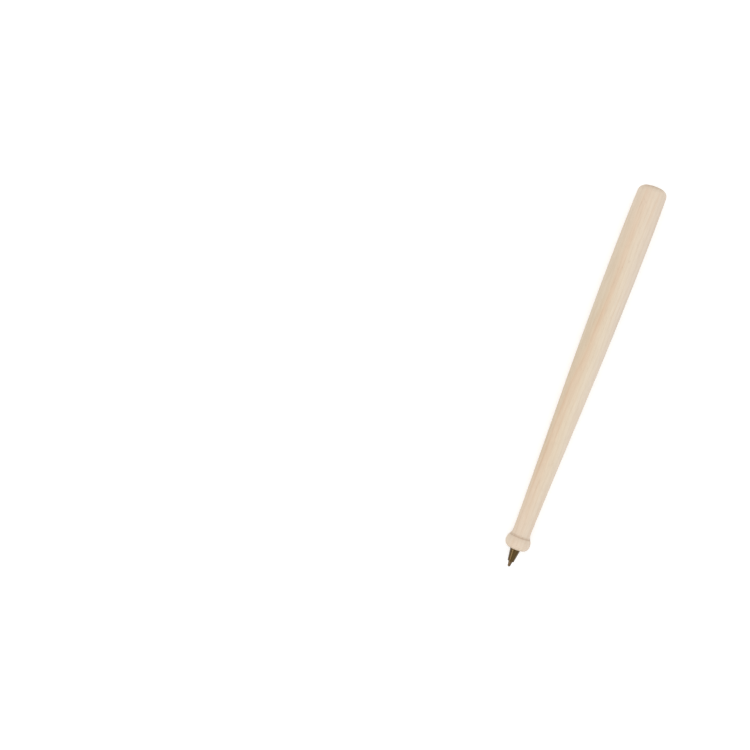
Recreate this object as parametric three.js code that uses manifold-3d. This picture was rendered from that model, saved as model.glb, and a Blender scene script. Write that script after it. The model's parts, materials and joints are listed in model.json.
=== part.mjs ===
import * as THREE from "three";
import { mergeVertices } from "three/addons/utils/BufferGeometryUtils.js";
import Module from "manifold-3d";

// A ballpoint pen in the shape of a bat: one turned wooden body and a push-in refill.
// Sizes are in millimetres. Along the pen, station 0 is the flat front face of the wood.
// The barrel's end is at positive stations and the writing tip at negative ones.

// Wooden body, from the knob at the front to the barrel's end
const bodyLength = 163.75;
const faceDiameter = 5.6;
const knobDiameter = 10.96;
const knobFrontLength = 3;
const knobRearLength = 2.5;
const knobRearDiameter = 9.4;
const grooveWidth = 0.5;
const grooveDepth = 0.25;
const flareDiameter = 9.14;
const flareLength = 2.55;
const neckDiameter = 7.95;
const bellyDiameter = 13.15;
const bellyFromEnd = 28;
const shoulderDiameter = 12.55;
const endRounding = 3.1;
const endFlatDiameter = 5;

// The handle's curve leaves the neck at this growth of radius per millimetre, and reaches the
// belly level. Each end holds its direction over its own length of the curve.
const handleGrowth = 0.0114;
const neckHold = 27;
const bellyHold = 50;

// Drilled bore in the wood
const boreDiameter = 4;
const boreChamfer = 0.1;
const drillPointDegrees = 118;

// Refill: plastic cone, metal point, ball, tube and ink
const refillLength = 107;
const coneShown = 5.75;
const pointShown = 2.5;
const coneFrontWall = 0.48;
const coneEdge = 0.1;
const seatWidth = 0.28;
const spigotLength = 9;
const spigotChamfer = 0.4;
const ribCount = 4;
const ribHeight = 0.13;
const ribWidth = 0.5;
const ribLength = 6.5;
const ribLead = 1.2;
const nippleLength = 6;
const nippleLead = 0.5;
const tubeBore = 2;
const tubeWall = 0.5;
const airSpace = 9;
const meniscusDepth = 0.3;

// Metal point, from the ball backwards
const ballDiameter = 1;
const ballShown = 0.28;
const lipWall = 0.06;
const lipLength = 0.27;
const lipDiameter = 1.26;
const noseLength = 0.55;
const noseDiameter = 1.36;
const pointHalfAngleDegrees = 8;
const shankDiameter = 1.8;
const shankLength = 3.8;
const tailDiameter = 1.4;
const tailLength = 3;
const reservoirDiameter = 1;
const capillaryDiameter = 0.4;
const capillaryLength = 1.1;
const channelCount = 5;
const channelWidth = 0.12;
const channelDepth = 0.14;
const channelLength = 0.5;

// Clearances between pieces
const pressGap = 0.02;
const seatGap = 0.05;
const ballGap = 0.03;
const inkGap = 0.04;
const boreEndGap = 3;

// Facets round each turned piece, and steps along its curves
const woodSides = 32;
const refillSides = 32;
const ballSides = 24;
const edgeSteps = 3;
const cornerSteps = 6;
const handleSteps = 22;

// Stations and radii that follow from the sizes above
const grooveStart = knobFrontLength + knobRearLength;
const flareStart = grooveStart + grooveWidth;
const neckStation = flareStart + flareLength;
const bellyStation = bodyLength - bellyFromEnd;
const boreRadius = boreDiameter / 2;
const coneFront = -coneShown;
const tipStation = coneFront - pointShown;
const ballRadius = ballDiameter / 2;
const ballStation = tipStation + ballRadius;
const shankRadius = shankDiameter / 2;
const lipStation = tipStation + ballShown;
const noseEnd = lipStation + lipLength + noseLength;
const pointConeLength =
  (shankDiameter - noseDiameter) / 2 / Math.tan(THREE.MathUtils.degToRad(pointHalfAngleDegrees));
const shankEnd = noseEnd + pointConeLength + shankLength;
const tailEnd = shankEnd + tailLength;
const reservoirRadius = reservoirDiameter / 2;
const capillaryRadius = capillaryDiameter / 2;
const capillaryEnd = ballStation + ballRadius + capillaryLength;
const nippleEnd = spigotLength + nippleLength;
const tubeRadius = tubeBore / 2;
const tubeEnd = tipStation + refillLength;
const boreDepth = tubeEnd + boreEndGap;

const wasm = await Module();
wasm.setup();

// One point of an outline. The lathe turns about its own Y, so the radius comes first there.
function at(station, radius) {
  return new THREE.Vector2(radius, station);
}

// Part of an ellipse in an outline. 0 degrees points to the barrel's end and 90 away from the axis.
function ellipse(centre, axial, radial, fromDegrees, toDegrees, steps) {
  const points = [];
  for (let i = 0; i <= steps; i++) {
    const turn = THREE.MathUtils.degToRad(
      THREE.MathUtils.lerp(fromDegrees, toDegrees, i / steps),
    );
    points.push(at(centre.y + axial * Math.cos(turn), centre.x + radial * Math.sin(turn)));
  }
  return points;
}

// A circular arc that leaves its crest level with the axis and falls to the end point.
// The crest itself is left out, because the stretch before it ends there.
function fall(crest, end, steps) {
  const run = end.y - crest.y;
  const drop = crest.x - end.x;
  const radius = (run * run + drop * drop) / (2 * drop);
  const endDegrees = THREE.MathUtils.radToDeg(Math.acos(run / radius));
  const centre = at(crest.y, crest.x - radius);
  return ellipse(centre, radius, radius, 90, endDegrees, steps).slice(1);
}

// Length of a drill's conical end for a hole of this radius.
function drillPoint(radius) {
  return radius / Math.tan(THREE.MathUtils.degToRad(drillPointDegrees / 2));
}

// A body of revolution along X. Its outline runs up the outside and back down the inside,
// and one facet of each piece faces straight down.
function turned(outline, sides) {
  const geometry = new THREE.LatheGeometry(outline, sides, Math.PI / sides);
  geometry.rotateZ(-Math.PI / 2);
  return geometry;
}

function toSolid(geometry) {
  const bare = geometry.clone();
  bare.deleteAttribute("normal");
  bare.deleteAttribute("uv");
  const merged = mergeVertices(bare);
  return new wasm.Manifold(
    new wasm.Mesh({
      numProp: 3,
      vertProperties: new Float32Array(merged.attributes.position.array),
      triVerts: new Uint32Array(merged.index.array),
    }),
  );
}

function toGeometry(solid) {
  const mesh = solid.getMesh();
  const geometry = new THREE.BufferGeometry();
  geometry.setAttribute("position", new THREE.BufferAttribute(mesh.vertProperties, 3));
  geometry.setIndex(new THREE.BufferAttribute(mesh.triVerts, 1));
  geometry.computeVertexNormals();
  return geometry;
}

// Copies of a geometry, spread evenly round the pen's axis.
function around(geometry, count) {
  const copies = [];
  for (let i = 0; i < count; i++) {
    copies.push(geometry.clone().rotateX((2 * Math.PI * i) / count));
  }
  return copies;
}

function handleCurve() {
  const neckRadius = neckDiameter / 2;
  const bellyRadius = bellyDiameter / 2;
  const curve = new THREE.CubicBezierCurve(
    at(neckStation, neckRadius),
    at(neckStation + neckHold, neckRadius + neckHold * handleGrowth),
    at(bellyStation - bellyHold, bellyRadius),
    at(bellyStation, bellyRadius),
  );
  return curve.getPoints(handleSteps).slice(1);
}

function bodyOutline() {
  const faceRadius = faceDiameter / 2;
  const knobRadius = knobDiameter / 2;
  const flareRadius = flareDiameter / 2;
  const endFlatRadius = endFlatDiameter / 2;
  const shoulderRadius = shoulderDiameter / 2;
  const shoulderStation = bodyLength - endRounding;
  const flareDrop = flareRadius - neckDiameter / 2;
  return [
    at(boreDepth + drillPoint(boreRadius), 0),
    at(boreDepth, boreRadius),
    at(boreChamfer, boreRadius),
    at(0, boreRadius + boreChamfer),
    ...ellipse(
      at(knobFrontLength, faceRadius),
      knobFrontLength,
      knobRadius - faceRadius,
      180,
      90,
      cornerSteps,
    ),
    ...fall(
      at(knobFrontLength, knobRadius),
      at(grooveStart, knobRearDiameter / 2),
      cornerSteps,
    ),
    at(grooveStart + grooveWidth / 2, flareRadius - grooveDepth),
    ...ellipse(at(neckStation, flareRadius), flareLength, flareDrop, 180, 270, edgeSteps),
    ...handleCurve(),
    ...fall(
      at(bellyStation, bellyDiameter / 2),
      at(shoulderStation, shoulderRadius),
      edgeSteps,
    ),
    ...ellipse(
      at(shoulderStation, endFlatRadius),
      endRounding,
      shoulderRadius - endFlatRadius,
      90,
      0,
      cornerSteps,
    ).slice(1),
    at(bodyLength, 0),
  ];
}

// The tip holder: the cone that shows, a seat on the wood, a spigot in the bore and a nipple
// for the tube. The point's shank and tail fill its stepped hole from the front.
function noseConeGeometry() {
  const socketRadius = shankRadius + pressGap;
  const frontRadius = socketRadius + coneFrontWall;
  const baseRadius = boreRadius + seatWidth;
  const spigotRadius = boreRadius - pressGap - ribHeight;
  const nippleRadius = tubeRadius - pressGap;
  const tailHoleRadius = tailDiameter / 2 + pressGap;
  const start = at(coneFront, socketRadius);
  const outline = [
    start,
    ...ellipse(
      at(coneFront + coneEdge, frontRadius - coneEdge),
      coneEdge,
      coneEdge,
      180,
      90,
      edgeSteps,
    ),
    at(-seatGap, baseRadius),
    at(-seatGap, spigotRadius),
    at(spigotLength - spigotChamfer, spigotRadius),
    at(spigotLength, spigotRadius - spigotChamfer / 2),
    at(spigotLength, nippleRadius),
    at(nippleEnd - nippleLead, nippleRadius),
    at(nippleEnd, nippleRadius - nippleLead / 3),
    at(nippleEnd, reservoirRadius),
    at(tailEnd + seatGap, reservoirRadius),
    at(tailEnd + seatGap, tailHoleRadius),
    at(shankEnd + seatGap, tailHoleRadius),
    at(shankEnd + seatGap, socketRadius),
    start,
  ];
  let holder = toSolid(turned(outline, refillSides));
  for (const rib of around(crushRib(spigotRadius), ribCount)) {
    holder = holder.add(toSolid(rib));
  }
  return toGeometry(holder);
}

// One rib along the spigot. It starts inside the spigot's wall and runs out in a ramp, and
// its corners stay inside the bore.
function crushRib(spigotRadius) {
  const root = spigotRadius - ribHeight;
  const crest = Math.sqrt((boreRadius - pressGap) ** 2 - (ribWidth / 2) ** 2);
  const ribStart = boreChamfer;
  const side = new THREE.Shape([
    new THREE.Vector2(ribStart, root),
    new THREE.Vector2(ribStart + ribLength, root),
    new THREE.Vector2(ribStart + ribLength - ribLead, crest),
    new THREE.Vector2(ribStart, crest),
  ]);
  const rib = new THREE.ExtrudeGeometry(side, { depth: ribWidth, bevelEnabled: false });
  rib.translate(0, 0, -ribWidth / 2);
  return rib;
}

// The metal point: a swaged lip round the ball, a cone, a shank and a tail, with a socket for
// the ball, a capillary and a reservoir inside.
function brassPointGeometry() {
  const cupRadius = ballRadius + ballGap;
  const lipDegrees = THREE.MathUtils.radToDeg(Math.acos((lipStation - ballStation) / cupRadius));
  const seatDegrees = THREE.MathUtils.radToDeg(Math.asin(capillaryRadius / cupRadius));
  const cup = ellipse(
    at(ballStation, 0),
    cupRadius,
    cupRadius,
    seatDegrees,
    lipDegrees,
    cornerSteps,
  );
  const mouth = cup[cup.length - 1];
  const outline = [
    mouth,
    at(lipStation, mouth.x + lipWall),
    at(lipStation + lipLength, lipDiameter / 2),
    at(noseEnd, noseDiameter / 2),
    at(shankEnd - shankLength, shankRadius),
    at(shankEnd, shankRadius),
    at(shankEnd, tailDiameter / 2),
    at(tailEnd, tailDiameter / 2),
    at(tailEnd, reservoirRadius),
    at(capillaryEnd + drillPoint(reservoirRadius - capillaryRadius), reservoirRadius),
    at(capillaryEnd, capillaryRadius),
    ...cup,
  ];
  let point = toSolid(turned(outline, refillSides));
  for (const channel of around(inkChannel(), channelCount)) {
    point = point.subtract(toSolid(channel));
  }
  return toGeometry(point);
}

// One of the slots that carry ink past the ball's seat. It starts inside the capillary.
function inkChannel() {
  const reach = capillaryRadius + channelDepth;
  const start = ballStation;
  const end = ballStation + ballRadius + channelLength;
  const slot = new THREE.BoxGeometry(end - start, channelWidth, reach);
  slot.translate((start + end) / 2, 0, reach / 2);
  return slot;
}

function ballGeometry() {
  const outline = ellipse(at(0, 0), ballRadius, ballRadius, 180, 0, ballSides / 2);
  return turned(outline, ballSides);
}

function inkTubeGeometry() {
  const front = spigotLength + seatGap;
  const outerRadius = tubeRadius + tubeWall;
  const start = at(front, tubeRadius);
  const outline = [
    start,
    at(front, outerRadius),
    at(tubeEnd, outerRadius),
    at(tubeEnd, tubeRadius),
    start,
  ];
  return turned(outline, refillSides);
}

// The ink: a thin stem through the point and the nipple, and the column in the tube, whose
// free end is dished.
function inkColumnGeometry() {
  const stemRadius = reservoirRadius - inkGap;
  const columnRadius = tubeRadius - inkGap;
  const stemStart = capillaryEnd + drillPoint(reservoirRadius);
  const columnEnd = tubeEnd - airSpace;
  const outline = [
    at(stemStart, 0),
    at(stemStart, stemRadius),
    at(nippleEnd + seatGap, stemRadius),
    at(nippleEnd + seatGap, columnRadius),
    at(columnEnd, columnRadius),
    ...ellipse(at(columnEnd, 0), meniscusDepth, columnRadius, 90, 180, edgeSteps).slice(1),
  ];
  return turned(outline, refillSides);
}

function piece(name, geometry, material) {
  const mesh = new THREE.Mesh(geometry, material);
  mesh.name = name;
  return mesh;
}

// The pen lies on its knob and its barrel, so its axis leans by the slope of the line under
// both. A facet's middle is nearer to the axis than its corners.
function restingTilt(outline) {
  const facetShare = Math.cos(Math.PI / woodSides);
  const slopes = outline
    .filter((point) => point.y > neckStation)
    .map((point) =>
      Math.atan2(facetShare * (point.x - knobDiameter / 2), point.y - knobFrontLength),
    );
  return Math.max(...slopes);
}

const bareWood = new THREE.MeshStandardMaterial({
  color: 0xe4d1ba,
  roughness: 0.75,
  metalness: 0,
});
const smokyPlastic = new THREE.MeshStandardMaterial({
  color: 0x4a3620,
  roughness: 0.2,
  metalness: 0,
});
const brass = new THREE.MeshStandardMaterial({
  color: 0xb08d57,
  roughness: 0.3,
  metalness: 1,
});
const ballMetal = new THREE.MeshStandardMaterial({
  color: 0x9a9a98,
  roughness: 0.2,
  metalness: 1,
});
const clearPlastic = new THREE.MeshStandardMaterial({
  color: 0xe6e6de,
  roughness: 0.35,
  metalness: 0,
  transparent: true,
  opacity: 0.4,
});
const blackInk = new THREE.MeshStandardMaterial({
  color: 0x16161c,
  roughness: 0.15,
  metalness: 0,
});

const outlineOfBody = bodyOutline();

const writingBall = piece("writing_ball", ballGeometry(), ballMetal);
writingBall.position.x = ballStation;

const refill = new THREE.Group();
refill.add(
  piece("nose_cone", noseConeGeometry(), smokyPlastic),
  piece("brass_point", brassPointGeometry(), brass),
  piece("ink_tube", inkTubeGeometry(), clearPlastic),
  piece("ink_column", inkColumnGeometry(), blackInk),
  writingBall,
);

const pen = new THREE.Group();
pen.add(piece("bat_body", turned(outlineOfBody, woodSides), bareWood), refill);
pen.rotation.y = -restingTilt(outlineOfBody);
pen.updateMatrixWorld(true);

// The origin is under the middle of the resting pen, on the surface that it lies on.
const space = new THREE.Box3().setFromObject(pen, true);
const middle = space.getCenter(new THREE.Vector3());
pen.position.set(-middle.x, -middle.y, -space.min.z);

const restingPen = new THREE.Group();
restingPen.add(pen);

export default restingPen;
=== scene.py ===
import json
import math

import bpy
import numpy as np
from mathutils import Matrix, Vector


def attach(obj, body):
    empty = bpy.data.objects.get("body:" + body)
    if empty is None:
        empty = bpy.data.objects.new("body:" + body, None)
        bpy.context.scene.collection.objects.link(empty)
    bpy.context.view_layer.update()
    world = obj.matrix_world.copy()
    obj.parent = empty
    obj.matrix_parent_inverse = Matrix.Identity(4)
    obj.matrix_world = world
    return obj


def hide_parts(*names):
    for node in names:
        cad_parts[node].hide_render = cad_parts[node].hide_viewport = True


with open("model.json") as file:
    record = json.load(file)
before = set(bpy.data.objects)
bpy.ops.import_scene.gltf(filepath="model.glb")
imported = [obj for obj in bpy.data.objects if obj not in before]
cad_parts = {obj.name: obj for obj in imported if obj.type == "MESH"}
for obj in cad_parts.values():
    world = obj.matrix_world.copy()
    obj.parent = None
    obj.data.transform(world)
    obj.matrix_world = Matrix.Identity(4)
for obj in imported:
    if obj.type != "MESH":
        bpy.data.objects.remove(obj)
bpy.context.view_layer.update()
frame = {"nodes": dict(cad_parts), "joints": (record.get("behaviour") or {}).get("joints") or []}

# A turned wooden pen in the shape of a bat, with a push-in ballpoint refill.
# Blender works in metres. Outlines, reliefs and textures work in the pen's own millimetres:
# x runs along the pen from the ball's centre, y to the left of the picture and z up.
MM = 0.001

# Camera, straight above the pen's middle and turned so that both ends land on their pixels
IMAGE_SIZE = 750
SENSOR_WIDTH = 36
CAMERA_HEIGHT = 0.55
CAMERA_CLIP = 0.01
TIP_PIXEL = (508.5, 566.5)
END_PIXEL = (654.6, 187.2)

# Soft studio light, and the floor's own light for the camera. Lamps are (name, strength,
# degrees of lean to the right of the picture, degrees of lean towards the writing tip,
# degrees of spread).
SKY_LEVEL = 0.8
WHITE = 1.0
LAMPS = [("key", 0.42, 30, 0, 60), ("window", 0.46, -35, 40, 18)]
FLOOR_COLOUR = (0.88, 0.88, 0.88, 1)
FLOOR_GLOW = 0.32
FLOOR_SIZE = 3

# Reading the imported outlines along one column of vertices, in millimetres and degrees
SAME_POINT = 0.003
COLUMN_DEGREES = 52
COLUMN_WIDTH_DEGREES = 0.1

# Smoothing the outlines, where a fillet takes at most its share of a run
STRAIGHT = 0.002
CORNER_DEGREES = 35
STEP_DEGREES = 7
FILLET_SHARE = 0.4

# How far a surface looks outwards: a face square to the axis up to the first number, and a
# side of the piece from the second
FACE_TO_SIDE = (0.3, 0.9)

# Wooden bat
BAT_SIDES = 144
BAT_FILLET = 0.1
BAT_SPACING = 0.7
SANDING_DEPTH = 0.035
SANDING_LENGTHS = (9, 40)

# Refill
CONE_FILLET = 0.06
CONE_SPACING = 0.16
RIB_COUNT = 4
RIB_WIDTH = 0.5
RIB_FLANK_DEGREES = 1.5
RIB_RAMP = 0.56
RIB_GAP_AZIMUTHS = 22
POINT_SIDES = 120
POINT_FILLET = 0.025
POINT_SPACING = 0.1
CHANNEL_COUNT = 5
CHANNEL_WIDTH = 0.12
CHANNEL_REACH = 0.34
CHANNEL_END = 1.0
BALL_SIDES = 64
BALL_SPACING = 0.05
TUBE_SIDES = 96
TUBE_FILLET = 0.08
INK_SIDES = 64
INK_FILLET = 0.04
REFILL_SPACING = 0.8

# Wood's growth: the pith lies off to the side and below, and the fibres run out slowly
PITH_DISTANCE = 48
PITH_DEGREES = 12
RUNOUT_DEGREES = 0.35
WANDER = 2.4

# Colours of the growth bands, by millimetres outwards from the pen's axis. Partly the wood's own tone and
# partly painted light: the bands lie across the pen as seen from above, and are tinted lighter and greyer
# to stand in for the sheen on its rims and for the lamps' side-to-side shading.
BAND_REACH = 8
BAND_TONES_AND_PAINTED_RIM_LIGHT = [
    (-6.5, (0.755, 0.66, 0.55)),
    (-4.2, (0.82, 0.70, 0.575)),
    (-1.8, (0.81, 0.695, 0.55)),
    (0.2, (0.785, 0.658, 0.50)),
    (1.8, (0.765, 0.607, 0.448)),
    (3.1, (0.74, 0.567, 0.407)),
    (4.4, (0.72, 0.587, 0.43)),
    (6.2, (0.725, 0.628, 0.488)),
]

# Paler colour at both ends, by two stations and its share at each of them. Towards the knob it is partly
# painted sheen, standing in for the light on the narrow handle's rims.
PALE_TONE_AND_PAINTED_SHEEN = (0.79, 0.655, 0.525, 1)
PALE_FRONT = (15, 50, 0.7, 0.0)
PALE_REAR = (115, 168, 0.0, 0.6)

# Yearly rings, and how dark the wood is from a year's start at 0 to its end at 1
YEAR_SPACING = 1.7
YEAR_DARKNESS = [(0, 0.1), (0.55, 0), (0.93, 1), (1, 0.1)]
YEAR_TINT = (0.88, 0.82, 0.76, 1)
YEAR_STRENGTH = 0.3

# Streaks and pores along the grain, and the duller wood where the grain ends at a face
STREAK_TINT = (0.95, 0.86, 0.79, 1)
STREAK_STRENGTH = 0.55
PORE_TINT = (0.72, 0.56, 0.42, 1)
PORE_STRENGTH = 0.4
END_GRAIN_TINT = (0.9, 0.86, 0.8, 1)

# Marks of the turning tool and painted shade: a darker belt round the groove, partly burnish and partly
# painted shade in the groove, and rings on the knob's front
BURNISH_AND_SHADE_REACH = (0.1, 1.1)
BURNISH_AND_SHADE_TINT = (0.88, 0.86, 0.85, 1)
BURNISH_AND_SHADE_STRENGTH = 0.6
TOOL_RING = 0.8
TOOL_REACH = 3.2
TOOL_STRENGTH = 0.1

# Refill's materials: pairs of colours that a noise blends, the cone's smoke and shine, and the
# ball's scratches in waves to a millimetre along x, y and z
CONE_BROWNS = ((0.046, 0.024, 0.003, 1), (0.027, 0.012, 0.001, 1))
CONE_SMOKE = (0.6, 0.42, 0.2, 1)
CONE_SMOKE_DENSITY = 900.0
CONE_SHINE = (1, 0.68, 0.32, 1)
# Partly painted reflection: the brass colours are darkened to stand in for dark surroundings reflected in
# the metal, and the noise blends patches of tarnish.
BRASS_BROWNS_AND_DARK_REFLECTION = ((0.145, 0.097, 0.053, 1), (0.095, 0.06, 0.031, 1))
BALL_GREYS = ((0.2, 0.2, 0.19, 1), (0.1, 0.1, 0.11, 1))
BALL_SCRATCHES = (30, 6, 18)
TUBE_WHITES = ((0.9, 0.9, 0.88, 1), (0.8, 0.81, 0.79, 1))
INK_BLACKS = ((0.006, 0.006, 0.01, 1), (0.016, 0.016, 0.024, 1))
PLASTIC_IOR = 1.5

# Where nearly all values of a noise texture lie
NOISE_RANGE = (0.3, 0.7)


def pen_space():
    """The matrix from the pen's own millimetres to the frame's metres."""
    joints = {joint["name"]: joint for joint in frame["joints"]}
    along = -Vector(joints["refill_pull"]["axis"]).normalized()
    across = Vector((0, 1, 0))
    turn = Matrix((along, across, along.cross(across))).transposed().to_4x4()
    return Matrix.Translation(joints["ball_roll"]["pos_m"]) @ turn @ Matrix.Scale(MM, 4)


PEN = pen_space()


def new_object(name, data):
    """A new object of the scene, with its mesh, lamp or camera."""
    thing = bpy.data.objects.new(name, data)
    bpy.context.scene.collection.objects.link(thing)
    return thing


# Outlines, read from the frame and smoothed


def cad_mesh(node):
    """A CAD node's vertices as (x, y, z), their radii, and its triangles' vertex numbers."""
    mesh = frame["nodes"][node].data
    places = np.empty(3 * len(mesh.vertices))
    mesh.vertices.foreach_get("co", places)
    mesh.calc_loop_triangles()
    corners = np.empty(3 * len(mesh.loop_triangles), int)
    mesh.loop_triangles.foreach_get("vertices", corners)
    to_pen = np.array(PEN.inverted())
    points = places.reshape(-1, 3) @ to_pen[:3, :3].T + to_pen[:3, 3]
    return points, np.hypot(points[:, 1], points[:, 2]), corners.reshape(-1, 3)


def column_rows(points, radii):
    """The (station, radius) rows of one column of vertices, and the row of each vertex.

    The column lies clear of ribs and channels, and the vertices on the axis belong to it.
    """
    azimuths = np.degrees(np.arctan2(points[:, 2], points[:, 1]))
    on_axis = radii < SAME_POINT
    misses = np.where(on_axis, 360, abs(azimuths - COLUMN_DEGREES))
    in_column = on_axis | (misses < misses.min() + COLUMN_WIDTH_DEGREES)
    rows, row_of = [], {}
    for i in np.flatnonzero(in_column):
        row = np.array([points[i, 0], 0 if on_axis[i] else radii[i]])
        near = [k for k, other in enumerate(rows) if max(abs(row - other)) < SAME_POINT]
        if not near:
            rows.append(row)
        row_of[i] = near[0] if near else len(rows) - 1
    return rows, row_of


def row_order(triangles, rows, row_of):
    """The numbers of the rows, in the order in which edges join them."""
    neighbours = [set() for _ in rows]
    for triangle in triangles:
        for a, b in zip(triangle, np.roll(triangle, 1)):
            if a in row_of and b in row_of and row_of[a] != row_of[b]:
                neighbours[row_of[a]].add(row_of[b])
                neighbours[row_of[b]].add(row_of[a])
    ends = [k for k, beside in enumerate(neighbours) if len(beside) == 1]
    path = [ends[0] if ends else 0]
    while onward := [k for k in sorted(neighbours[path[-1]]) if k not in path]:
        path.append(onward[0])
    return path


def cad_outline(node):
    """The half section of a turned CAD node: rows of (station, radius), material on the left.

    An outline with its ends on the axis is open, and any other is closed.
    """
    points, radii, triangles = cad_mesh(node)
    rows, row_of = column_rows(points, radii)
    outline = np.array([rows[k] for k in row_order(triangles, rows, row_of)])
    x, r = outline.T
    area = np.sum(x * np.roll(r, -1) - np.roll(x, -1) * r)
    return outline if area > 0 else outline[::-1]


def knob_stations():
    """The places of the knob's front and of the groove behind it.

    The groove is the first dip of the bat's outer outline.
    """
    outline = cad_outline("bat_body")
    x, r = outline[outline[:, 1] > outline[:, 1].max() / 2].T
    order = np.argsort(x)
    x, r = x[order], r[order]
    dips = (r[1:-1] < r[:-2]) & (r[1:-1] < r[2:])
    return float(outline[:, 0].min()), float(x[1:-1][dips][0])


def is_open(outline):
    return outline[0, 1] == 0


def unit(vector):
    return vector / np.hypot(*vector)


def turn_between(a, b):
    """The angle between two unit vectors."""
    return math.acos(max(-1.0, min(1.0, float(a @ b))))


def knots_of(outline, fillet):
    """(point, direction) pairs of a smooth curve through an outline.

    A sharp corner is cut back by the fillet on both sides, which gives two pairs. Runs
    along the axis or square to it stay straight.
    """
    before, after = np.roll(outline, 1, axis=0), np.roll(outline, -1, axis=0)
    if is_open(outline):
        before[0] = outline[1] * (1, -1)
        after[-1] = outline[-2] * (1, -1)
    knots = []
    for previous, here, following in zip(before, outline, after):
        into, away = here - previous, following - here
        sharp = turn_between(unit(into), unit(away)) > math.radians(CORNER_DEGREES)
        if sharp and here[1] > 0:
            cut = min(fillet, FILLET_SHARE * np.hypot(*into), FILLET_SHARE * np.hypot(*away))
            knots.append((here - cut * unit(into), unit(into)))
            knots.append((here + cut * unit(away), unit(away)))
        elif sharp:
            knots.append((here, unit(into if knots else away)))
        elif min(abs(into)) < STRAIGHT:
            knots.append((here, unit(into)))
        elif min(abs(away)) < STRAIGHT:
            knots.append((here, unit(away)))
        else:
            knots.append((here, unit(following - previous)))
    return knots


def smooth(outline, fillet, spacing):
    """A finely stepped copy of an outline, curved between its points and at its corners.

    Each span is a cubic curve, with the pull that makes an even turn a round arc.
    """
    knots = knots_of(outline, fillet)
    spans = list(zip(knots, knots[1:] + knots[:1]))
    if is_open(outline):
        spans.pop()
    points = []
    for (start, leave), (end, arrive) in spans:
        chord = np.hypot(*(end - start))
        turn = turn_between(leave, arrive)
        pull = chord / math.cos(turn / 4) ** 2
        steps = max(math.ceil(chord / spacing), math.ceil(math.degrees(turn) / STEP_DEGREES))
        for t in np.arange(steps) / steps:
            points.append(
                (2 * t**3 - 3 * t**2 + 1) * start
                + (t**3 - 2 * t**2 + t) * pull * leave
                + (3 * t**2 - 2 * t**3) * end
                + (t**3 - t**2) * pull * arrive
            )
    if is_open(outline):
        points.append(outline[-1])
    return np.array(points)


# Turned meshes


def ring_faces(count, sides, opened):
    """Quads between neighbouring rings of vertices, by their vertex numbers.

    An open outline has fans of triangles to its two ends, whose numbers come after the rings.
    """
    ring, side = np.indices((count - 1 if opened else count, sides))
    beside, below = (side + 1) % sides, (ring + 1) % count
    quads = [ring * sides + side, below * sides + side, below * sides + beside, ring * sides + beside]
    faces = np.stack(quads, axis=-1).reshape(-1, 4).tolist()
    if opened:
        first, last = count * sides, count * sides + 1
        final = (count - 1) * sides
        for k in range(sides):
            faces.append((first, k, (k + 1) % sides))
            faces.append((final + k, last, final + (k + 1) % sides))
    return faces


def turned(name, outline, azimuths, relief=None):
    """A closed, smooth-shaded piece of revolution about the pen's axis.

    relief(station, radius, azimuth, outward) gives the change of radius at each point, where
    outward is 1 on the outside, -1 in a bore and 0 on a face square to the axis.
    """
    opened = is_open(outline)
    if opened:
        flow = np.gradient(outline, axis=0)
    else:
        flow = np.roll(outline, -1, axis=0) - np.roll(outline, 1, axis=0)
    rings = slice(1, -1) if opened else slice(None)
    station, radius = outline[rings, 0, None], outline[rings, 1, None]
    outward = (-flow[:, 0] / np.hypot(*flow.T))[rings, None]
    station, radius, azimuth = np.broadcast_arrays(station, radius, azimuths[None, :])
    if relief:
        radius = radius + relief(station, radius, azimuth, outward)
    vertices = np.stack([station, radius * np.cos(azimuth), radius * np.sin(azimuth)], axis=-1)
    vertices = vertices.reshape(-1, 3)
    if opened:
        vertices = np.vstack([vertices, [outline[0, 0], 0, 0], [outline[-1, 0], 0, 0]])
    to_frame = np.array(PEN)
    places = vertices @ to_frame[:3, :3].T + to_frame[:3, 3]
    mesh = bpy.data.meshes.new(name)
    mesh.from_pydata(places, [], ring_faces(*radius.shape, opened))
    mesh.shade_smooth()
    return new_object(name, mesh)


def round_piece(name, node, fillet, spacing, sides, relief=None):
    """A turned piece from a CAD node's outline, with its sides spread evenly."""
    azimuths = np.arange(sides) * 2 * math.pi / sides
    return turned(name, smooth(cad_outline(node), fillet, spacing), azimuths, relief)


# Relief of the turned pieces


def step(low, high, value):
    """0 below low, 1 above high and a smooth ramp between them."""
    t = np.clip((value - low) / (high - low), 0, 1)
    return t * t * (3 - 2 * t)


def from_nearest(azimuth, count, first=0):
    """The angle from the nearest of some features that are spread evenly round the axis."""
    apart = 2 * math.pi / count
    return abs((azimuth - first + apart / 2) % apart - apart / 2)


def unevenness(seed, count, lengths, most_turns):
    """A function of station and azimuth from -1 to 1, as a sum of gentle waves."""
    draw = np.random.default_rng(seed)
    along = 2 * math.pi / draw.uniform(*lengths, count)
    around = draw.integers(0, most_turns + 1, count)
    phases = draw.uniform(0, 2 * math.pi, (count, 2))

    def height(station, azimuth):
        total = 0
        for a, b, (p, q) in zip(along, around, phases):
            total = total + np.sin(a * station + p) * np.cos(b * azimuth + q)
        return total / count

    return height


def hand_sanding():
    """The bat's relief: circles drawn in to the middle of the CAD facets, then sanded by hand."""
    points, radii, _ = cad_mesh("bat_body")
    widest = points[radii > radii.max() - SAME_POINT]
    facets = len(set(np.round(np.degrees(np.arctan2(widest[:, 2], widest[:, 1])))))
    share = math.cos(math.pi / facets)
    uneven = unevenness(seed=7, count=9, lengths=SANDING_LENGTHS, most_turns=4)

    def relief(station, radius, azimuth, outward):
        depth = SANDING_DEPTH * (1 - uneven(station, azimuth)) / 2
        return radius * (share - 1) - depth * step(*FACE_TO_SIDE, outward)

    return relief


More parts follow.
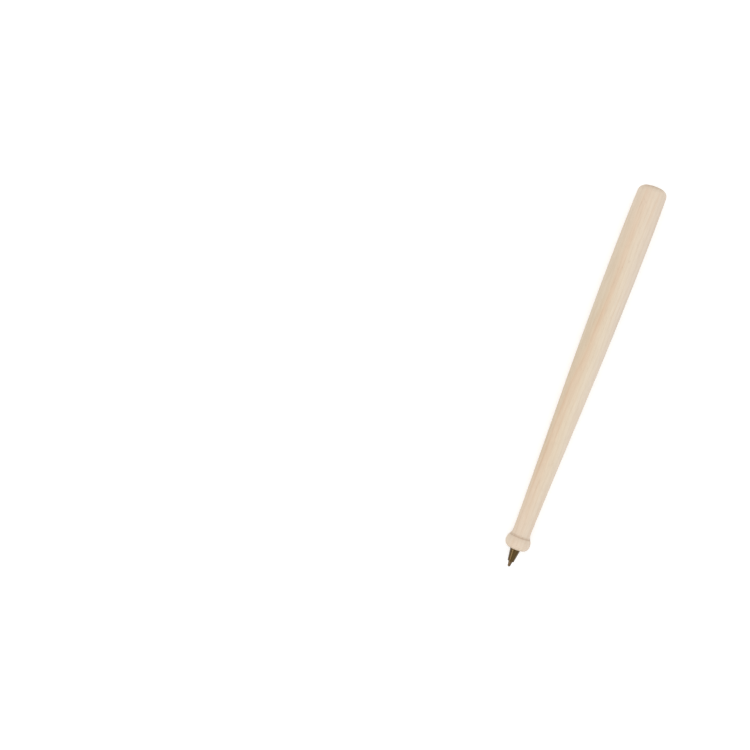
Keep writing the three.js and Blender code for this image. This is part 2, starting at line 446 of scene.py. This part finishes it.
def crush_ribs(outline):
    """The tip holder's relief, and azimuths that meet the edges of its ribs."""
    points, radii, _ = cad_mesh("nose_cone")
    seat = points[radii.argmax(), 0]
    behind = points[:, 0] > seat + SAME_POINT
    corner = radii[behind].max()
    crest = points[behind & (radii > corner - SAME_POINT)]
    start, ramp = crest[:, 0].min(), crest[:, 0].max()
    spigot = outline[outline[:, 0] > seat + SAME_POINT, 1].max()
    half, flank = math.asin(RIB_WIDTH / 2 / corner), math.radians(RIB_FLANK_DEGREES)
    level = corner * math.cos(half)

    def relief(station, radius, azimuth, outward):
        off = from_nearest(azimuth, RIB_COUNT)
        rise = level / np.cos(np.minimum(off, half)) - spigot
        sunk = np.clip((station - ramp) / RIB_RAMP, 0, 1)
        on_spigot = (station > seat) & (station < ramp + RIB_RAMP)
        there = on_spigot & (outward > FACE_TO_SIDE[1])
        from_start = step(start - CONE_SPACING, start, station)
        return there * from_start * rise * (1 - sunk) * (1 - step(half, half + flank, off))

    apart = 2 * math.pi / RIB_COUNT
    rib = [-half - flank / 2, -half, -half / 2, 0, half / 2, half, half + flank / 2]
    gap = np.linspace(half + flank, apart - half - flank, RIB_GAP_AZIMUTHS)
    repeat = np.concatenate([rib, gap])
    return relief, np.concatenate([repeat + apart * k for k in range(RIB_COUNT)])


def ink_channels(station, radius, azimuth, outward):
    """The metal point's relief: slots that carry the ink past the ball's seat."""
    off = from_nearest(azimuth, CHANNEL_COUNT, first=math.pi / 2)
    tiny = 0.01
    floor = CHANNEL_REACH / np.cos(off)
    wall = CHANNEL_WIDTH / 2 / np.maximum(np.sin(off), tiny)
    there = (station > 0) & (station < CHANNEL_END)
    return there * np.maximum(0, np.minimum(floor, wall) - radius)


# Materials


class Finish:
    """One material's node graph. Each method adds nodes and returns the output that others read."""

    def __init__(self, name):
        self.material = bpy.data.materials.new(name)
        self.material.use_nodes = True
        self.tree = self.material.node_tree
        self.tree.nodes.clear()
        self.out = self.tree.nodes.new("ShaderNodeOutputMaterial")

    def add(self, kind, values, output=0, **settings):
        """A node with its inputs set to numbers, colours or other nodes' outputs."""
        node = self.tree.nodes.new(kind)
        for name, value in settings.items():
            setattr(node, name, value)
        for key, value in values.items():
            self.feed(node.inputs[key], value)
        return node.outputs[output]

    def feed(self, socket, value):
        """Link a socket to another node's output, or set its value."""
        if isinstance(value, bpy.types.NodeSocket):
            self.tree.links.new(value, socket)
        else:
            socket.default_value = value

    def pen_millimetres(self):
        """The piece's own coordinates, in the pen's millimetres."""
        place, turn, _ = PEN.decompose()
        values = {
            "Vector": self.add("ShaderNodeTexCoord", {}, output="Object"),
            "Location": place,
            "Rotation": turn.to_euler(),
            "Scale": (MM, MM, MM),
        }
        return self.add("ShaderNodeMapping", values, vector_type="TEXTURE")

    def scaled(self, vector, *scale):
        """A vector times a factor for each axis."""
        return self.add("ShaderNodeVectorMath", {0: vector, 1: scale}, operation="MULTIPLY")

    def noise(self, vector, detail=2, roughness=0.5, distortion=0):
        """Noise with one wave to a unit of its vector."""
        values = {
            "Vector": vector,
            "Scale": 1,
            "Detail": detail,
            "Roughness": roughness,
            "Distortion": distortion,
        }
        return self.add("ShaderNodeTexNoise", values)

    def grain(self, pen, along, across, **settings):
        """Noise with so many waves to a millimetre along the pen, and so many across it."""
        return self.noise(self.scaled(pen, along, across, across), **settings)

    def maths(self, operation, *values):
        """One operation on numbers or on other nodes' outputs."""
        return self.add("ShaderNodeMath", dict(enumerate(values)), operation=operation)

    def ranged(self, value, low, high, to_low=0.0, to_high=1.0, **settings):
        """A value that runs from to_low to to_high while another runs from low to high."""
        values = {0: value, 1: low, 2: high, 3: to_low, 4: to_high}
        return self.add("ShaderNodeMapRange", values, **settings)

    def spread(self, noise, low, high):
        """Noise spread from low to high."""
        return self.ranged(noise, *NOISE_RANGE, low, high)

    def ramp(self, factor, stops):
        """A blend through (position, colour) stops."""
        node = self.tree.nodes.new("ShaderNodeValToRGB")
        elements = node.color_ramp.elements
        elements.remove(elements[1])
        for i, (position, colour) in enumerate(stops):
            element = elements.new(position) if i else elements[0]
            element.position = position
            element.color = (*colour, 1)
        self.feed(node.inputs[0], factor)
        return node.outputs[0]

    def mix(self, factor, first, second, blend="MIX"):
        """The first colour, blended with the second as far as the factor says.

        The sockets go by number here, because the node has several of each name.
        """
        values = {0: factor, 6: first, 7: second}
        return self.add("ShaderNodeMix", values, output=2, data_type="RGBA", blend_type=blend)

    def multiplied(self, colour, tint, amount=1.0):
        """A colour times a tint, as far as the amount says."""
        return self.mix(amount, colour, tint, "MULTIPLY")

    def bump(self, height, distance, below=None):
        """A relief with its depth in millimetres, on top of the one below."""
        values = {"Height": height, "Distance": distance * MM}
        if below:
            values["Normal"] = below
        return self.add("ShaderNodeBump", values)

    def surface(self, volume=None, **values):
        """The Principled shader, with its inputs named in lower case."""
        named = {name.replace("_", " "): value for name, value in values.items()}
        node = self.tree.nodes.new("ShaderNodeBsdfPrincipled")
        for socket in node.inputs:
            if socket.name.lower() in named:
                self.feed(socket, named.pop(socket.name.lower()))
        assert not named, named
        self.feed(self.out.inputs["Surface"], node.outputs[0])
        if volume:
            self.feed(self.out.inputs["Volume"], volume)
        return self.material


def growth_outwards(finish, pen):
    """Millimetres outwards along the growth, with the fibres' slow wander."""
    side = math.radians(PITH_DEGREES)
    pith = (0, PITH_DISTANCE * math.cos(side), PITH_DISTANCE * math.sin(side))
    runout = (0, 0, -math.radians(RUNOUT_DEGREES))
    values = {"Vector": pen, "Location": pith, "Rotation": runout}
    board = finish.add("ShaderNodeMapping", values, vector_type="POINT")
    square = finish.scaled(board, 0, 1, 1)
    from_pith = finish.add("ShaderNodeVectorMath", {0: square}, output="Value", operation="LENGTH")
    slow = finish.grain(pen, along=0.018, across=0.16)
    wander = finish.ranged(slow, low=0.25, high=0.75, to_low=-WANDER / 2, to_high=WANDER / 2)
    return finish.maths("ADD", finish.maths("SUBTRACT", from_pith, PITH_DISTANCE), wander)


def growth_colour_and_painted_light(finish, growth, along):
    """The colours of the growth bands with their painted rim light, paler towards the knob and the barrel's
    end;
    towards the knob the paler colour is partly painted sheen.
    """
    stops = [((g + BAND_REACH) / (2 * BAND_REACH), colour) for g, colour in BAND_TONES_AND_PAINTED_RIM_LIGHT]
    colour = finish.ramp(finish.ranged(growth, -BAND_REACH, BAND_REACH), stops)
    front = finish.ranged(along, *PALE_FRONT)
    rear = finish.ranged(along, *PALE_REAR)
    return finish.mix(finish.maths("MAXIMUM", front, rear), colour, PALE_TONE_AND_PAINTED_SHEEN)


def with_years(finish, colour, growth):
    """Yearly rings, which darken slowly and end at once."""
    year = finish.maths("FRACT", finish.maths("DIVIDE", growth, YEAR_SPACING))
    late = finish.ramp(year, [(place, (dark,) * 3) for place, dark in YEAR_DARKNESS])
    return finish.multiplied(colour, YEAR_TINT, finish.maths("MULTIPLY", late, YEAR_STRENGTH))


def with_grain(finish, colour, pen, fibres, pores):
    """Streaks, fibres and short dark pores along the grain."""
    uneven = finish.grain(pen, along=0.03, across=0.75, detail=3, roughness=0.6)
    streaks = finish.ranged(uneven, low=0.52, high=0.72)
    colour = finish.multiplied(colour, STREAK_TINT, finish.maths("MULTIPLY", streaks, STREAK_STRENGTH))
    colour = finish.multiplied(colour, finish.spread(fibres, 0.93, 1.04))
    return finish.multiplied(colour, PORE_TINT, finish.maths("MULTIPLY", pores, PORE_STRENGTH))


def with_tool_marks_and_groove_shade(finish, colour, along):
    """What the turning tool left, with painted shade: a darker belt round the groove, partly burnish and
    partly painted shade, and rings on the knob.
    """
    front, groove = knob_stations()
    off = finish.maths("ABSOLUTE", finish.maths("SUBTRACT", along, groove))
    fade = (BURNISH_AND_SHADE_STRENGTH, 0.0)
    # Painted shade: the belt round the groove is darkened as the groove's shade would be, on top of the
    # tool's burnish.
    burnish_and_shade = finish.ranged(off, *BURNISH_AND_SHADE_REACH, *fade, interpolation_type="SMOOTHSTEP")
    colour = finish.multiplied(colour, BURNISH_AND_SHADE_TINT, burnish_and_shade)
    turns = finish.maths("MULTIPLY", finish.maths("SUBTRACT", along, front), 2 * math.pi / TOOL_RING)
    depth = finish.ranged(along, front, front + TOOL_REACH, TOOL_STRENGTH, 0.0)
    rings = finish.maths("MULTIPLY_ADD", finish.maths("SINE", turns), depth, 1.0)
    return finish.multiplied(colour, rings)


def with_end_grain(finish, colour, pen):
    """End grain on faces square to the axis, a shade duller and full of dots."""
    normal = finish.add("ShaderNodeTexCoord", {}, output="Normal")
    values = {0: normal, 1: PEN.col[0].xyz.normalized()}
    facing = finish.add("ShaderNodeVectorMath", values, output="Value", operation="DOT_PRODUCT")
    end_grain = finish.ranged(finish.maths("ABSOLUTE", facing), low=0.55, high=0.98)
    speckles = finish.grain(pen, along=0.5, across=9, detail=1)
    dots = finish.ranged(speckles, low=0.35, high=0.65, to_low=0.8)
    duller = finish.multiplied(colour, END_GRAIN_TINT)
    return finish.mix(end_grain, colour, finish.multiplied(duller, dots))


def wood_relief(finish, pen, fibres, pores):
    """The lathe's fine rings, fibres and pores in the surface."""
    lathe = finish.grain(pen, along=3.2, across=0.05, roughness=0.6)
    relief = finish.bump(lathe, distance=0.03)
    relief = finish.bump(fibres, distance=0.05, below=relief)
    return finish.bump(finish.maths("SUBTRACT", 1.0, pores), distance=0.04, below=relief)


def bare_wood():
    """Fine-sanded pale wood with no stain or varnish."""
    finish = Finish("bare_wood")
    pen = finish.pen_millimetres()
    along = finish.add("ShaderNodeSeparateXYZ", {0: pen})
    growth = growth_outwards(finish, pen)
    fibres = finish.grain(pen, along=0.16, across=5.5, detail=4, roughness=0.65)
    pores = finish.ranged(finish.grain(pen, along=0.7, across=7, detail=1), low=0.7, high=0.78)
    colour = growth_colour_and_painted_light(finish, growth, along)
    colour = with_years(finish, colour, growth)
    colour = with_grain(finish, colour, pen, fibres, pores)
    colour = with_tool_marks_and_groove_shade(finish, colour, along)
    return finish.surface(
        base_color=with_end_grain(finish, colour, pen),
        roughness=finish.spread(fibres, 0.62, 0.8),
        specular_ior_level=0.3,
        sheen_weight=0.18,
        sheen_roughness=0.45,
        normal=wood_relief(finish, pen, fibres, pores),
    )


def smoky_plastic():
    """Moulded dark brown plastic, a little see-through, with flow lines and haze."""
    finish = Finish("smoky_plastic")
    pen = finish.pen_millimetres()
    flow = finish.grain(pen, along=0.12, across=1.6, detail=3)
    haze = finish.grain(pen, along=5, across=5, detail=3)
    smoke = {"Color": CONE_SMOKE, "Density": CONE_SMOKE_DENSITY}
    return finish.surface(
        volume=finish.add("ShaderNodeVolumeAbsorption", smoke),
        base_color=finish.mix(flow, *CONE_BROWNS),
        roughness=finish.spread(haze, 0.14, 0.22),
        ior=PLASTIC_IOR,
        specular_ior_level=0.85,
        specular_tint=CONE_SHINE,
        transmission_weight=0.1,
        normal=finish.bump(flow, distance=0.002),
    )


def turned_brass():
    """Brass with fine turning marks and patches of tarnish, its colour darkened as painted reflection of
    dark surroundings.
    """
    finish = Finish("turned_brass")
    pen = finish.pen_millimetres()
    marks = finish.grain(pen, along=26, across=0.2, detail=3, roughness=0.7)
    tarnish = finish.ranged(finish.grain(pen, along=1.2, across=2.2, detail=4), low=0.35, high=0.7)
    return finish.surface(
        base_color=finish.mix(tarnish, *BRASS_BROWNS_AND_DARK_REFLECTION),
        metallic=1.0,
        roughness=finish.spread(marks, 0.2, 0.36),
        normal=finish.bump(marks, distance=0.008),
    )


def ball_metal():
    """Polished hard metal with fine scratches under a thin film of ink."""
    finish = Finish("ball_metal")
    pen = finish.pen_millimetres()
    fine = finish.scaled(pen, *BALL_SCRATCHES)
    scratches = finish.noise(fine, detail=4, roughness=0.7, distortion=1)
    film = finish.ranged(finish.grain(pen, along=2.5, across=2.5), low=0.4, high=0.65)
    return finish.surface(
        base_color=finish.mix(film, *BALL_GREYS),
        metallic=1.0,
        roughness=finish.spread(scratches, 0.14, 0.34),
        normal=finish.bump(scratches, distance=0.003),
    )


def clear_tube():
    """Clear extruded plastic, a little milky, with lines along its length."""
    finish = Finish("clear_tube")
    pen = finish.pen_millimetres()
    draw_lines = finish.grain(pen, along=0.05, across=5, detail=3)
    milk = finish.grain(pen, along=0.4, across=1.2)
    return finish.surface(
        base_color=finish.mix(milk, *TUBE_WHITES),
        roughness=finish.spread(draw_lines, 0.14, 0.26),
        ior=PLASTIC_IOR,
        transmission_weight=0.92,
        normal=finish.bump(draw_lines, distance=0.02),
    )


def black_ink():
    """Wet black ink paste."""
    finish = Finish("black_ink")
    pen = finish.pen_millimetres()
    thick = finish.grain(pen, along=0.5, across=1.5, detail=3)
    return finish.surface(
        base_color=finish.mix(thick, *INK_BLACKS),
        roughness=finish.spread(thick, 0.08, 0.2),
        coat_weight=0.3,
        normal=finish.bump(thick, distance=0.05),
    )


# Pieces


def wooden_bat():
    """Knob, groove, handle, barrel and rounded end, with the bore for the refill."""
    return round_piece("wooden_bat", "bat_body", BAT_FILLET, BAT_SPACING, BAT_SIDES, hand_sanding())


def tip_holder():
    """The cone in front of the wood, with its ribbed spigot and its nipple."""
    outline = cad_outline("nose_cone")
    relief, azimuths = crush_ribs(outline)
    return turned("tip_holder", smooth(outline, CONE_FILLET, CONE_SPACING), azimuths, relief)


def metal_point():
    """The cone and shank that hold the ball, with their ink channels and reservoir."""
    return round_piece("metal_point", "brass_point", POINT_FILLET, POINT_SPACING, POINT_SIDES, ink_channels)


def rolling_ball():
    """The ball that writes."""
    return round_piece("rolling_ball", "writing_ball", POINT_FILLET, BALL_SPACING, BALL_SIDES)


def refill_tube():
    """The tube that holds the ink, pushed over the nipple."""
    return round_piece("refill_tube", "ink_tube", TUBE_FILLET, REFILL_SPACING, TUBE_SIDES)


def ink_fill():
    """The ink, from the point to its level in the tube."""
    return round_piece("ink_fill", "ink_column", INK_FILLET, REFILL_SPACING, INK_SIDES)


def dress(piece, material, body, node):
    """Give a piece its material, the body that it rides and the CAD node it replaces."""
    piece.data.materials.append(material)
    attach(piece, body)
    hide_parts(node)


# Stage


def focal_pixels(first, second, cosine):
    """The focal length, in pixels, at which two points of the picture are so far apart.

    The points are measured from the picture's middle, and the angle between their rays is
    given by its cosine.
    """
    a, b, dot = first.length_squared, second.length_squared, first.dot(second)
    square = cosine * cosine
    quadratic = 1 - square
    linear = 2 * dot - square * (a + b)
    constant = dot * dot - square * a * b
    root = math.sqrt(linear * linear - 4 * quadratic * constant)
    return math.sqrt((root - linear) / (2 * quadratic))


def ray_axes(first, second):
    """Three axes at right angles: one along the first ray, and one square to both."""
    side = first.cross(second).normalized()
    return Matrix((first, side, first.cross(side))).transposed()


def make_camera():
    """A camera whose turn and lens bring the pen's two ends to their pixels."""
    tip = PEN @ Vector((cad_outline("writing_ball")[:, 0].min(), 0, 0))
    end = PEN @ Vector((cad_outline("bat_body")[:, 0].max(), 0, 0))
    place = (tip + end) / 2 + Vector((0, 0, CAMERA_HEIGHT))
    rays = [(point - place).normalized() for point in (tip, end)]
    middle = IMAGE_SIZE / 2
    targets = [Vector((u - middle, middle - v)) for u, v in (TIP_PIXEL, END_PIXEL)]
    focal = focal_pixels(*targets, rays[0].dot(rays[1]))
    seen = [Vector((*target, -focal)).normalized() for target in targets]
    turn = ray_axes(*rays) @ ray_axes(*seen).transposed()

    data = bpy.data.cameras.new("camera")
    data.sensor_width = SENSOR_WIDTH
    data.lens = focal / IMAGE_SIZE * SENSOR_WIDTH
    data.clip_start = CAMERA_CLIP
    camera = new_object("camera", data)
    camera.matrix_world = Matrix.Translation(place) @ turn.to_4x4()
    bpy.context.scene.camera = camera


def seen_directly(tree):
    """1 for rays of the camera, of gloss and of glass, and 0 for the rays that light things."""
    path = tree.nodes.new("ShaderNodeLightPath")
    total = path.outputs["Is Camera Ray"]
    for name in ("Is Glossy Ray", "Is Transmission Ray"):
        node = tree.nodes.new("ShaderNodeMath")
        node.operation = "MAXIMUM"
        tree.links.new(total, node.inputs[0])
        tree.links.new(path.outputs[name], node.inputs[1])
        total = node.outputs[0]
    return total


def make_sky():
    """An even sky at a plain level, which shows as white."""
    world = bpy.data.worlds.new("sky")
    world.use_nodes = True
    bpy.context.scene.world = world
    tree = world.node_tree
    level = tree.nodes.new("ShaderNodeMapRange")
    level.inputs["To Min"].default_value = SKY_LEVEL
    level.inputs["To Max"].default_value = WHITE
    tree.links.new(seen_directly(tree), level.inputs["Value"])
    tree.links.new(level.outputs[0], tree.nodes["Background"].inputs["Strength"])
    tree.nodes["Background"].inputs["Color"].default_value = (1, 1, 1, 1)


def make_lamps():
    """Broad lamps from above, on both sides of the pen."""
    for name, strength, right, forward, spread in LAMPS:
        data = bpy.data.lights.new(name, "SUN")
        data.energy = strength
        data.angle = math.radians(spread)
        lamp = new_object(name, data)
        lamp.rotation_euler = (math.radians(right), -math.radians(forward), 0)


def make_floor():
    """A pale floor that shows as white, and keeps the pen's shadow."""
    mesh = bpy.data.meshes.new("floor")
    half = FLOOR_SIZE / 2
    corners = [(-half, -half, 0), (half, -half, 0), (half, half, 0), (-half, half, 0)]
    mesh.from_pydata(corners, [], [(0, 1, 2, 3)])
    finish = Finish("floor")
    paper = finish.add("ShaderNodeBsdfDiffuse", {"Color": FLOOR_COLOUR})
    glow = finish.maths("MULTIPLY", seen_directly(finish.tree), FLOOR_GLOW)
    light = finish.add("ShaderNodeEmission", {"Strength": glow})
    both = finish.add("ShaderNodeAddShader", {0: paper, 1: light})
    finish.feed(finish.out.inputs["Surface"], both)
    mesh.materials.append(finish.material)
    floor = new_object("floor", mesh)


bpy.context.scene.view_settings.view_transform = "Standard"
make_camera()
make_sky()
make_lamps()
make_floor()
dress(wooden_bat(), bare_wood(), "bat", "bat_body")
dress(tip_holder(), smoky_plastic(), "refill", "nose_cone")
dress(metal_point(), turned_brass(), "refill", "brass_point")
dress(rolling_ball(), ball_metal(), "ball", "writing_ball")
dress(refill_tube(), clear_tube(), "refill", "ink_tube")
dress(ink_fill(), black_ink(), "refill", "ink_column")
